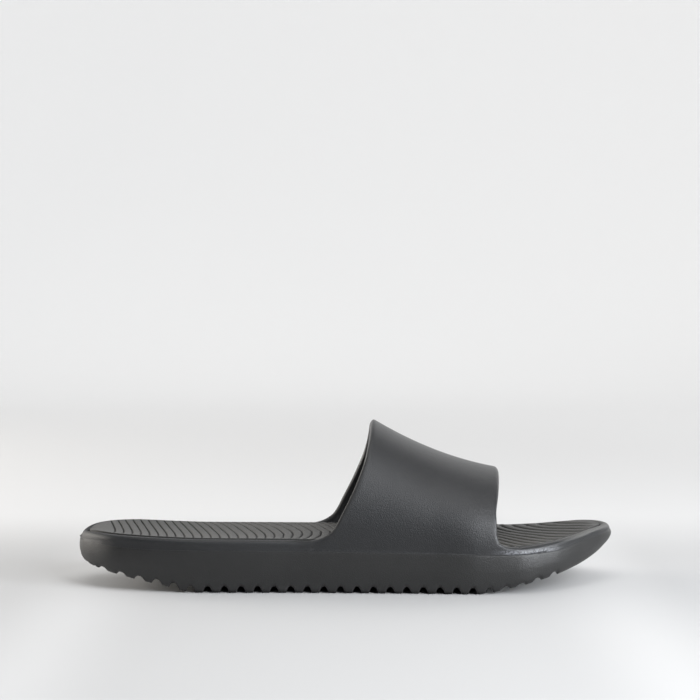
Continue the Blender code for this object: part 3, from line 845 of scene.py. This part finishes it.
def upper_paint_layers(last, strap, points):
    """How much each point of the upper is lighter at the toe rim, carries the lip's painted highlight or
    carries the back edge's painted shade, from 0 to 1, by layer.
    """
    along, height = points[:, 0], points[:, 2]
    share, angle = along / last.length, last.turn(along)
    outer_rim, inner_rim = last.rim[OUTER](angle), last.rim[INNER](angle)
    under_rim = np.minimum(outer_rim, inner_rim) - height
    worn = smooth_step(share, *TOE_RIM_REACH) * (1 - smooth_step(under_rim, *TOE_RIM_DEPTH))
    over_join = height - last.join(angle)
    # Where the lip's painted highlight lies.
    lip = smooth_step(share, *LIP_START) * (1 - smooth_step(share, *LIP_END))
    lip = lip * (1 - smooth_step(over_join, *LIP_HEIGHT)) * smooth_step(over_join, *LIP_FOOT)
    rise = (height - outer_rim) / (last.instep_height - outer_rim)
    # Where the back edge's painted shade lies.
    edge = smooth_step(share, *BACK_EDGE_START) * (1 - smooth_step(rise, *BACK_EDGE_END))
    edge = edge * (1 - smooth_step(along - strap.back(rise), *BACK_EDGE_REACH))
    return {TOE_RIM_LAYER: worn, LIP_GLINT_LAYER: lip, BACK_EDGE_SHADE_LAYER: edge}


def make_upper(last, material):
    upper = Upper(last)
    points = add_nub(upper.points)
    made = make_object("upper_moulding", last, points, upper.faces, material)
    for name, values in upper_paint_layers(last, upper.strap, points).items():
        add_layer(made, name, values)
    return made


class Footbed:
    """The rippled insert. Its rows of points follow the grooves, and each ends on the insert's outline."""

    def __init__(self, last):
        self.last = last
        self.inset = last.wall + FOOTBED_SEAT[0].gap
        self.edge_angles = np.linspace(0, math.pi, FOOTBED_EDGE_SAMPLES)
        share = (1 - np.cos(self.edge_angles)) / 2
        inset = last.wall + table_curve(FOOTBED_SEAT, "along", "gap")(share)
        self.edges = {side: last.inset_outline(self.edge_angles, side, inset) for side in (OUTER, INNER)}
        self.proud = table_curve(FOOTBED_SEAT, "along", "proud")
        self.pitch = table_curve(RIPPLES, "along", "pitch")
        self.deep = table_curve(RIPPLES, "along", "deep")
        self.broad = table_curve(RIPPLES, "along", "broad")
        places = ("outer", "mid_outer", "near", "mid_inner", "far", "inner")
        self.sweeps = [table_curve(RIPPLES, "along", place) for place in places]

    def edge_at(self, along, side):
        """(y, height) of the insert's top edge on one side."""
        edge = self.edges[side]
        height = self.last.rim[side](np.interp(along, edge[:, 0], self.edge_angles))
        height = height + self.proud(np.asarray(along) / self.last.length)
        return np.interp(along, edge[:, 0], edge[:, 1]), height

    def surface(self, along, y):
        """(top before the ripples, underside) at plan points."""
        outer_y, outer_height = self.edge_at(along, OUTER)
        inner_y, inner_height = self.edge_at(along, INNER)
        weight = np.clip((y - outer_y) / np.maximum(inner_y - outer_y, 1e-6), 0, 1)
        edge = outer_height * (1 - weight) + inner_height * weight
        dish = self.last.dish(self.last.turn(along)) * bow(weight)
        return edge - dish, edge - FOOTBED_THICK

    def line(self, place):
        """A groove's line as a function from a share of the foot's width to plan points."""
        outer, mid_outer, *inner = [float(sweep(place)) for sweep in self.sweeps]
        shift = Curve(RIPPLE_SHARES, [outer, mid_outer, 0.0, *inner])
        angle = self.last.turn(np.clip(place, *RIPPLE_REACH))
        middle = self.last.centre(self.last.turn(np.clip(place, 0, self.last.length)))
        reach = self.last.half_width(angle) - self.inset
        return lambda share: np.stack([place + shift(share), middle + share * reach], -1)

    def inside(self, plan):
        along, y = plan[..., 0], plan[..., 1]
        first, last = self.edges[OUTER][0, 0], self.edges[OUTER][-1, 0]
        between = (y > self.edge_at(along, OUTER)[0]) & (y < self.edge_at(along, INNER)[0])
        return between & (along > first) & (along < last)

    def line_ends(self, line):
        """The shares at which a groove's line enters and leaves the insert, or None where it misses it."""
        shares = np.linspace(*LINE_SHARES)
        held = np.flatnonzero(self.inside(line(shares)))
        if len(held) < 2:
            return None

        def holds(share):
            return self.inside(line(np.array(share)))

        steps = ((held[0], held[0] - 1), (held[-1], held[-1] + 1))
        return [last_held(shares[near], shares[far], holds, LINE_HALVINGS) for near, far in steps]

    def reach(self):
        """The first and last places whose line crosses the insert."""
        def crosses(place):
            return self.line_ends(self.line(place)) is not None

        before, beyond = PLACE_MARGINS
        places = np.arange(-before, self.last.length + beyond, PLACE_STEP)
        held = [place for place in places if crosses(place)]
        steps = ((held[0], held[0] - PLACE_STEP), (held[-1], held[-1] + PLACE_STEP))
        return [last_held(near, far, crosses, PLACE_HALVINGS) for near, far in steps]

    def rows(self):
        """(place, depth) for each row: plain tips, and the groove profile at each groove."""
        first, last = self.reach()
        grooves = [RIPPLE_FIRST]
        while grooves[-1] + self.pitch(grooves[-1]) * RIPPLE_LAST_ROOM < last:
            grooves.append(grooves[-1] + float(self.pitch(grooves[-1])))
        rows = []
        for middle in grooves:
            pitch, deep, broad = (float(curve(middle)) for curve in (self.pitch, self.deep, self.broad))
            half = [(pitch * (1 - (1 - 2 * point.phase) ** broad) / 2, deep * point.depth)
                    for point in GROOVE]
            rows += [(middle - away, depth) for away, depth in half[:0:-1]]
            rows += [(middle + away, depth) for away, depth in half]
        crowding = np.linspace(0, 1, FOOTBED_TIP_STEPS + 1)[:-1] ** 2
        heel = [(first + (rows[0][0] - first) * share, 0.0) for share in crowding]
        toe = [(last - (last - rows[-1][0]) * share, 0.0) for share in crowding[::-1]]
        return heel + rows + toe

    def mesh(self):
        """Points, faces and each point's painted shade (0 to 1): its groove depth, or the dark line along the
        insert's edge.
        """
        share = np.linspace(0, 1, RIPPLE_COLUMNS + 1)
        share = share - RIPPLE_CROWDING / (2 * math.pi) * np.sin(2 * math.pi * share)
        toe_end = self.edges[OUTER][-1, 0]
        rings, shade_depths = [], []
        for place, depth in self.rows():
            line = self.line(place)
            start, end = self.line_ends(line)
            plan = line(start + (end - start) * share)
            top, under = self.surface(plan[:, 0], plan[:, 1])
            run = np.concatenate([[0], np.cumsum(np.linalg.norm(np.diff(plan, axis=0), axis=1))])
            from_edge = np.minimum(run, run[-1] - run)
            from_toe = toe_end - plan[:, 0]
            off_toe = smooth_step(from_toe, 0, RIPPLE_TOE_REACH)
            plain = FOOTBED_EDGE_PLAIN + RIPPLE_TOE_EDGE * (1 - off_toe)
            fade = off_toe * smooth_step(from_edge, RIPPLE_FADE_START, plain)
            drop = FOOTBED_EDGE_EASE * (1 - smooth_step(from_edge, *FOOTBED_EASE_REACH))
            height = top - self.last.ripple_depth * depth * fade - drop
            bottom = with_height(plan[[-1, 0]], under[[-1, 0]])
            rings.append(np.concatenate([with_height(plan, height), bottom]))
            # A painted shade line along the insert's edge, where it meets the rim.
            edge_shade_line = 1 - smooth_step(from_edge, 0, EDGE_SHADE_LINE_BREADTH)
            edge_shade_line = edge_shade_line * smooth_step(from_toe, *EDGE_SHADE_LINE_FADE)
            shade_depths.append(np.concatenate([np.maximum(depth * fade, edge_shade_line), (1.0, 1.0)]))
        points, faces = loft(rings)
        return points, faces, np.concatenate(shade_depths)


def make_footbed(last, material):
    points, faces, shade_depths = Footbed(last).mesh()
    footbed = make_object("footbed_insert", last, points, faces, material)
    add_layer(footbed, GROOVE_SHADE_LAYER, shade_depths)
    return footbed


class Value:
    """A shader socket that sums can be written with. Each operation on it adds a Math node."""

    def __init__(self, finish, socket):
        self.finish = finish
        self.socket = socket

    def math(self, operation, first, second):
        return self.finish.node("ShaderNodeMath", {"operation": operation}, {0: first, 1: second})

    def __add__(self, other):
        return self.math("ADD", self, other)

    def __sub__(self, other):
        return self.math("SUBTRACT", self, other)

    def __rsub__(self, other):
        return self.math("SUBTRACT", other, self)

    def __mul__(self, other):
        return self.math("MULTIPLY", self, other)

    __radd__ = __add__
    __rmul__ = __mul__


class Finish:
    """One material with a Principled shader, and the nodes that feed it."""

    def __init__(self, name):
        self.material = bpy.data.materials.new(name)
        self.material.use_nodes = True
        self.tree = self.material.node_tree
        self.shader = self.tree.nodes["Principled BSDF"]
        self.place = self.node("ShaderNodeTexCoord", output="Object")

    def node(self, kind, settings=None, inputs=None, output=None):
        """Adds a node: its settings first, then the values or links of its sockets. Gives one output."""
        made = self.tree.nodes.new(kind)
        for name, setting in (settings or {}).items():
            setattr(made, name, setting)
        for key, value in (inputs or {}).items():
            socket = made.inputs[key] if isinstance(key, int) else self.open_socket(made.inputs, key)
            self.feed(socket, value)
        outputs = made.outputs
        return Value(self, self.open_socket(outputs, output) if output else outputs[0])

    @staticmethod
    def open_socket(sockets, name):
        return next(socket for socket in sockets if socket.name == name and socket.enabled)

    def feed(self, socket, value):
        if isinstance(value, Value):
            self.tree.links.new(value.socket, socket)
        else:
            socket.default_value = value

    def set(self, **values):
        """Values or links of the shader's own sockets, with _ for a space in their names."""
        for name, value in values.items():
            self.feed(self.shader.inputs[name.replace("_", " ")], value)

    def noise(self, size, detail=2.0, roughness=0.5, stretch=None):
        """Soft spots of about one size, in metres, from 0 to 1. stretch draws them out along the axes."""
        place = self.place
        if stretch:
            place = self.node("ShaderNodeVectorMath", {"operation": "MULTIPLY"}, {0: place, 1: stretch})
        return self.node("ShaderNodeTexNoise", inputs={
            "Vector": place, "Scale": 1 / size, "Detail": detail, "Roughness": roughness})

    def range(self, value, low, high, first=0.0, last=1.0):
        """A smooth change from first to last as a value goes from low to high."""
        return self.node("ShaderNodeMapRange", {"interpolation_type": "SMOOTHSTEP"}, {
            "Value": value, "From Min": low, "From Max": high, "To Min": first, "To Max": last})

    def blend(self, share, first, second):
        """From one colour to another."""
        return self.node("ShaderNodeMix", {"data_type": "RGBA"}, {
            "Factor": share, "A": first, "B": second}, output="Result")

    def part(self, axis):
        """One coordinate of the place, in metres."""
        return self.node("ShaderNodeSeparateXYZ", inputs={0: self.place}, output=axis)

    def layer(self, name):
        """The number that is stored on the points of the piece under a name."""
        return self.node("ShaderNodeAttribute", {"attribute_name": name}, output="Fac")

    def bump(self, height, distance):
        return self.node("ShaderNodeBump", inputs={"Strength": 1.0, "Distance": distance, "Height": height})


def shade(colour, factor):
    return (*(channel * factor for channel in colour), 1.0)


def foam_grain(finish, settings):
    """Skin of moulded foam: fine pebbles with finer pores between them, from 0 to 1."""
    pebbles = finish.noise(settings.grain_size, detail=2.0, roughness=0.6)
    pores = finish.noise(settings.grain_size * PORE_SIZE, detail=1.0)
    return pebbles * (1 - PORE_SHARE) + pores * PORE_SHARE


def two_tone(finish, colour, fine, tone):
    """(foam colour, clouds): the colour goes darker and lighter in slow clouds and in a finer pattern."""
    cloud = finish.noise(tone.cloud_size, detail=CLOUD_DETAIL)
    share = finish.range(cloud * tone.cloud_share + fine * (1 - tone.cloud_share), tone.low, tone.high)
    return finish.blend(share, shade(colour, 1 - tone.spread), shade(colour, 1 + tone.spread)), cloud


def heel_end(finish):
    """1 at the heel end, fading out forwards."""
    return finish.range(finish.part("X"), *HEEL_END, 1.0, 0.0)


def upper_finish(settings):
    finish = Finish("upper foam")
    grain = foam_grain(finish, settings)
    colour = settings.upper_colour
    foam, cloud = two_tone(finish, colour, grain, UPPER_TONE)
    worn, lip, edge = (finish.layer(name) for name in (TOE_RIM_LAYER, LIP_GLINT_LAYER, BACK_EDGE_SHADE_LAYER))
    speckle = finish.noise(LIP_SPECKLE, detail=2.0, roughness=0.6)
    # Painted shade: the strap's back edge is darkened against the heel light's highlight.
    foam = finish.blend(edge, foam, shade(colour, BACK_EDGE_PAINTED_SHADE))
    # Painted highlight: the lip is made far lighter in speckles, for the side light's glints on it.
    foam = finish.blend(lip * finish.range(speckle, *LIP_SPECKLE_RANGE), foam, shade(colour, LIP_GLINT_SHADE))
    matt = settings.upper_roughness - UPPER_MATT_MEAN + grain * GRAIN_MATT + cloud * CLOUD_MATT
    matt = matt + worn * TOE_RIM_MATT + heel_end(finish) * HEEL_MATT + edge * BACK_EDGE_MATT
    finish.set(
        Base_Color=finish.blend(worn, foam, shade(settings.footbed_colour, TOE_RIM_SHADE)),
        Roughness=matt,
        Normal=finish.bump(grain, settings.grain_depth),
    )
    return finish.material


def sole_finish(settings):
    finish = Finish("sole foam")
    grain = foam_grain(finish, settings)
    colour = settings.sole_colour
    foam, _ = two_tone(finish, colour, grain, SOLE_TONE)
    streaks = finish.noise(SCUFF_SIZE, detail=2.0, roughness=0.65, stretch=SCUFF_STRETCH)
    height = finish.part("Z")
    scuff = finish.range(streaks, *SCUFF_RANGE) * finish.range(height, *SCUFF_HEIGHT, 1.0, 0.0)
    # Painted contact shadow: the bars' feet darken near the floor.
    foot = finish.range(height, *BAR_FOOT_SHADOW_HEIGHT, 1.0, 0.0)
    foam = finish.blend(scuff * SCUFF_STRENGTH, foam, shade(colour, SCUFF_SHADE))
    matt = settings.sole_roughness - SOLE_MATT_MEAN + grain * GRAIN_MATT + scuff * SCUFF_MATT
    finish.set(
        Base_Color=finish.blend(foot, foam, shade(colour, BAR_FOOT_SHADOW_SHADE)),
        Roughness=matt + heel_end(finish) * HEEL_MATT + foot * BAR_FOOT_MATT,
        Normal=finish.bump(grain + streaks * SCUFF_RAISE, settings.grain_depth),
    )
    return finish.material


def footbed_finish(settings):
    finish = Finish("footbed foam")
    grain = foam_grain(finish, settings)
    speckle = finish.noise(SPECKLE_SIZE, detail=3.0, roughness=0.7)
    # The footbed's colour carries a painted sheen for the grazing light.
    colour = settings.footbed_colour
    ridge, _ = two_tone(finish, colour, speckle, FOOTBED_TONE)
    # Painted shade: the grooves and the line round the insert are darkened.
    deep = finish.range(finish.layer(GROOVE_SHADE_LAYER), *GROOVE_RANGE)
    raised = grain * (1 - SPECKLE_RAISE) + speckle * SPECKLE_RAISE
    matt = settings.footbed_roughness - FOOTBED_MATT_MEAN + speckle * SPECKLE_MATT
    finish.set(
        Base_Color=finish.blend(deep, ridge, shade(colour, GROOVE_PAINTED_SHADE)),
        Roughness=matt + deep * GROOVE_MATT,
        Normal=finish.bump(raised, settings.grain_depth * FOOTBED_GRAIN),
    )
    return finish.material


def floor_finish(settings):
    finish = Finish("studio paper")
    cloud = finish.noise(PAPER_CLOUD_SIZE, detail=2.0)
    colour = settings.floor_colour
    along, across = finish.part("X"), finish.part("Y")
    near = finish.range(across, *NEAR_GLOW_REACH)
    wall = finish.range(across, *WALL_GLOW_REACH)
    ends = finish.range(along * along, *(reach ** 2 for reach in END_GLOW_REACH))
    ends = ends * finish.range(along * along, *(reach ** 2 for reach in END_GLOW_FADE), 1.0, 0.0)
    glow = near * NEAR_GLOW + wall * (1 - NEAR_GLOW) + ends * END_GLOW * (1 - near)
    finish.set(
        Base_Color=finish.blend(cloud, shade(colour, 1 - PAPER_SPREAD), shade(colour, 1 + PAPER_SPREAD)),
        Roughness=PAPER_ROUGHNESS,
        Specular_IOR_Level=PAPER_GLOSS,
        Emission_Color=finish.blend(glow, shade(colour, 0.0), shade(colour, 1.0)),
        Emission_Strength=settings.wall_glow,
    )
    return finish.material


def cove_height(away):
    """Height of the studio paper where it is swept up, at a distance from the slide."""
    turn = np.clip((away - FLOOR_REACH) / COVE_RADIUS, 0, 1)
    return COVE_RADIUS * (1 - math.sqrt(1 - turn ** 2))


def make_floor(settings):
    """A round sheet of paper under the slide, swept up behind it."""
    level = np.linspace(0, FLOOR_REACH, FLOOR_RINGS + 1)[1:]
    cove = FLOOR_REACH + COVE_RADIUS * np.sin(np.linspace(0, math.pi / 2, COVE_RINGS + 1)[1:])
    rings = [(away, cove_height(away)) for away in (*level, *cove)]
    rings.append((FLOOR_REACH + COVE_RADIUS, COVE_RADIUS + WALL_TOP))
    points = [(0.0, 0.0, 0.0)]
    for away, height in rings:
        for spoke in range(FLOOR_SPOKES):
            angle = 2 * math.pi * spoke / FLOOR_SPOKES
            back = (1 + math.sin(angle)) / 2
            raised = height * float(smooth_step(back, *WALL_START))
            points.append((away * math.cos(angle), away * math.sin(angle), raised))
    faces = [(0, 1 + spoke, 1 + (spoke + 1) % FLOOR_SPOKES) for spoke in range(FLOOR_SPOKES)]
    for ring in range(len(rings) - 1):
        for spoke in range(FLOOR_SPOKES):
            here = 1 + ring * FLOOR_SPOKES + spoke
            beside = 1 + ring * FLOOR_SPOKES + (spoke + 1) % FLOOR_SPOKES
            faces.append((here, here + FLOOR_SPOKES, beside + FLOOR_SPOKES, beside))
    mesh = bpy.data.meshes.new("studio_paper")
    mesh.from_pydata(points, [], faces)
    mesh.shade_smooth()
    mesh.materials.append(floor_finish(settings))
    floor = bpy.data.objects.new("studio_paper", mesh)
    bpy.context.scene.collection.objects.link(floor)


def add_soft_box(box, strength):
    """A large soft light that faces a point."""
    light = bpy.data.lights.new(box.name, "AREA")
    light.shape = "RECTANGLE"
    light.size, light.size_y = box.size
    light.energy = box.power * strength
    light.color = box.colour
    lamp = bpy.data.objects.new(box.name, light)
    lamp.location = box.place
    lamp.rotation_euler = (Vector(box.aim) - Vector(box.place)).to_track_quat("-Z", "Y").to_euler()
    bpy.context.scene.collection.objects.link(lamp)


def add_camera():
    lens = bpy.data.cameras.new("photo_camera")
    lens.lens = CAMERA_LENS
    lens.sensor_width = CAMERA_SENSOR
    camera = bpy.data.objects.new("photo_camera", lens)
    camera.location = CAMERA_PLACE
    camera.rotation_euler = (math.pi / 2 - CAMERA_DIP, 0, 0)
    bpy.context.scene.collection.objects.link(camera)
    bpy.context.scene.camera = camera


def light_room(settings):
    """Even light from all round."""
    world = bpy.data.worlds.new("studio")
    world.use_nodes = True
    room = world.node_tree.nodes["Background"]
    room.inputs["Color"].default_value = (*settings.room_colour, 1)
    room.inputs["Strength"].default_value = settings.room_light
    bpy.context.scene.world = world


def colour_property(name, description, default):
    return FloatVectorProperty(
        name=name, description=description, default=default, size=3, min=0, max=1, subtype="COLOR")


def length_property(name, description, default):
    return FloatProperty(
        name=name, description=description, default=default, min=0, unit="LENGTH", precision=4)


def share_property(name, description, default):
    return FloatProperty(name=name, description=description, default=default, min=0, max=1, subtype="FACTOR")


def strength_property(name, description, default):
    return FloatProperty(name=name, description=description, default=default, min=0)


class SlideSizes(bpy.types.PropertyGroup):
    """Sizes of the slide."""

    length: length_property("Length", "Heel end to toe end of the outline", 0.285)
    ball_width: length_property("Ball width", "Width of the outline at the ball of the foot", 0.103)
    heel_height: length_property(
        "Heel height", "Height that the rim, join and tread heights are shares of", 0.0274)
    instep_height: length_property("Instep height", "Height of the strap's crown at its back edge", 0.0857)
    vamp_height: length_property("Vamp height", "Height of the strap's crown at its front edge", 0.0609)
    wall: length_property("Rim wall", "Thickness of the upper's rim", 0.005)
    strap_wall: length_property("Strap wall", "Thickness of the strap", 0.0044)
    tread_depth: length_property("Tread depth", "Depth of the grooves between the tread bars", 0.0034)
    ripple_depth: length_property("Ripple depth", "Depth of the grooves in the footbed", 0.0011)


class SlideFinishes(bpy.types.PropertyGroup):
    """Colours and surface of the foam."""

    upper_colour: colour_property("Upper", "Colour of the upper's foam", (0.0135, 0.0140, 0.0152))
    upper_roughness: share_property("Upper roughness", "How matt the upper is", 0.36)
    sole_colour: colour_property("Sole", "Colour of the sole's foam", (0.0140, 0.0140, 0.0139))
    sole_roughness: share_property("Sole roughness", "How matt the sole is", 0.39)
    # The footbed is black foam like the rest; its colour is set lighter, a painted sheen for the grazing
    # light off its ripples.
    footbed_colour: colour_property("Footbed", "Colour of the footbed's foam", (0.070, 0.069, 0.066))
    footbed_roughness: share_property("Footbed roughness", "How matt the footbed is", 0.62)
    grain_size: length_property("Grain size", "Size of the pebbles in the foam's skin", 0.0006)
    grain_depth: length_property("Grain depth", "Depth of the foam's grain", 0.0002)


class SlideStage(bpy.types.PropertyGroup):
    """Studio that the slide stands in."""

    floor_colour: colour_property("Paper", "Colour of the studio paper", (0.53, 0.53, 0.53))
    wall_glow: strength_property("Wall glow", "Light of the paper's back wall", 0.93)
    room_colour: colour_property("Room", "Colour of the even light", (1.0, 1.0, 1.0))
    room_light: strength_property("Room light", "Strength of the even light", 0.18)
    box_light: strength_property("Soft boxes", "Strength of all soft boxes", 1.0)


class SLIDE_OT_stage(bpy.types.Operator):
    """Make the studio: paper, soft light and camera"""

    bl_idname = "slide.stage"
    bl_label = "Studio"

    def execute(self, context):
        settings = context.scene.slide_stage
        context.scene.view_settings.view_transform = "Standard"
        add_camera()
        make_floor(settings)
        light_room(settings)
        for box in SOFT_BOXES:
            add_soft_box(box, settings.box_light)
        return {"FINISHED"}


class SLIDE_OT_sole(bpy.types.Operator):
    """Make the sole, with its tread bars and the tray for the footbed"""

    bl_idname = "slide.sole"
    bl_label = "Sole"

    def execute(self, context):
        finish = sole_finish(context.scene.slide_finishes)
        seat(make_sole(Last(context.scene.slide_sizes), finish), "sole")
        return {"FINISHED"}


class SLIDE_OT_upper(bpy.types.Operator):
    """Make the upper: the strap and the band that runs round the foot"""

    bl_idname = "slide.upper"
    bl_label = "Upper"

    def execute(self, context):
        finish = upper_finish(context.scene.slide_finishes)
        seat(make_upper(Last(context.scene.slide_sizes), finish), "upper")
        return {"FINISHED"}


class SLIDE_OT_footbed(bpy.types.Operator):
    """Make the rippled footbed"""

    bl_idname = "slide.footbed"
    bl_label = "Footbed"

    def execute(self, context):
        finish = footbed_finish(context.scene.slide_finishes)
        footbed = make_footbed(Last(context.scene.slide_sizes), finish)
        seat(footbed, "footbed")
        return {"FINISHED"}


class VIEW3D_PT_slide(bpy.types.Panel):
    """Sizes, finishes and steps of the slide"""

    bl_label = "Pool Slide"
    bl_space_type = "VIEW_3D"
    bl_region_type = "UI"
    bl_category = "Pool Slide"

    def draw(self, context):
        scene = context.scene
        groups = {"Sizes": scene.slide_sizes, "Finishes": scene.slide_finishes, "Studio": scene.slide_stage}
        for heading, group in groups.items():
            box = self.layout.box()
            box.label(text=heading)
            for name in group.__annotations__:
                box.prop(group, name)
        for operator in PIECES:
            self.layout.operator(operator.bl_idname)


PIECES = (SLIDE_OT_stage, SLIDE_OT_sole, SLIDE_OT_upper, SLIDE_OT_footbed)
CLASSES = (SlideSizes, SlideFinishes, SlideStage, *PIECES, VIEW3D_PT_slide)


def register():
    for cls in CLASSES:
        bpy.utils.register_class(cls)
    bpy.types.Scene.slide_sizes = PointerProperty(type=SlideSizes)
    bpy.types.Scene.slide_finishes = PointerProperty(type=SlideFinishes)
    bpy.types.Scene.slide_stage = PointerProperty(type=SlideStage)


def unregister():
    del bpy.types.Scene.slide_stage
    del bpy.types.Scene.slide_finishes
    del bpy.types.Scene.slide_sizes
    for cls in reversed(CLASSES):
        bpy.utils.unregister_class(cls)


def main():
    register()
    bpy.ops.slide.stage()
    bpy.ops.slide.sole()
    bpy.ops.slide.upper()
    bpy.ops.slide.footbed()


if __name__ == "__main__":
    main()
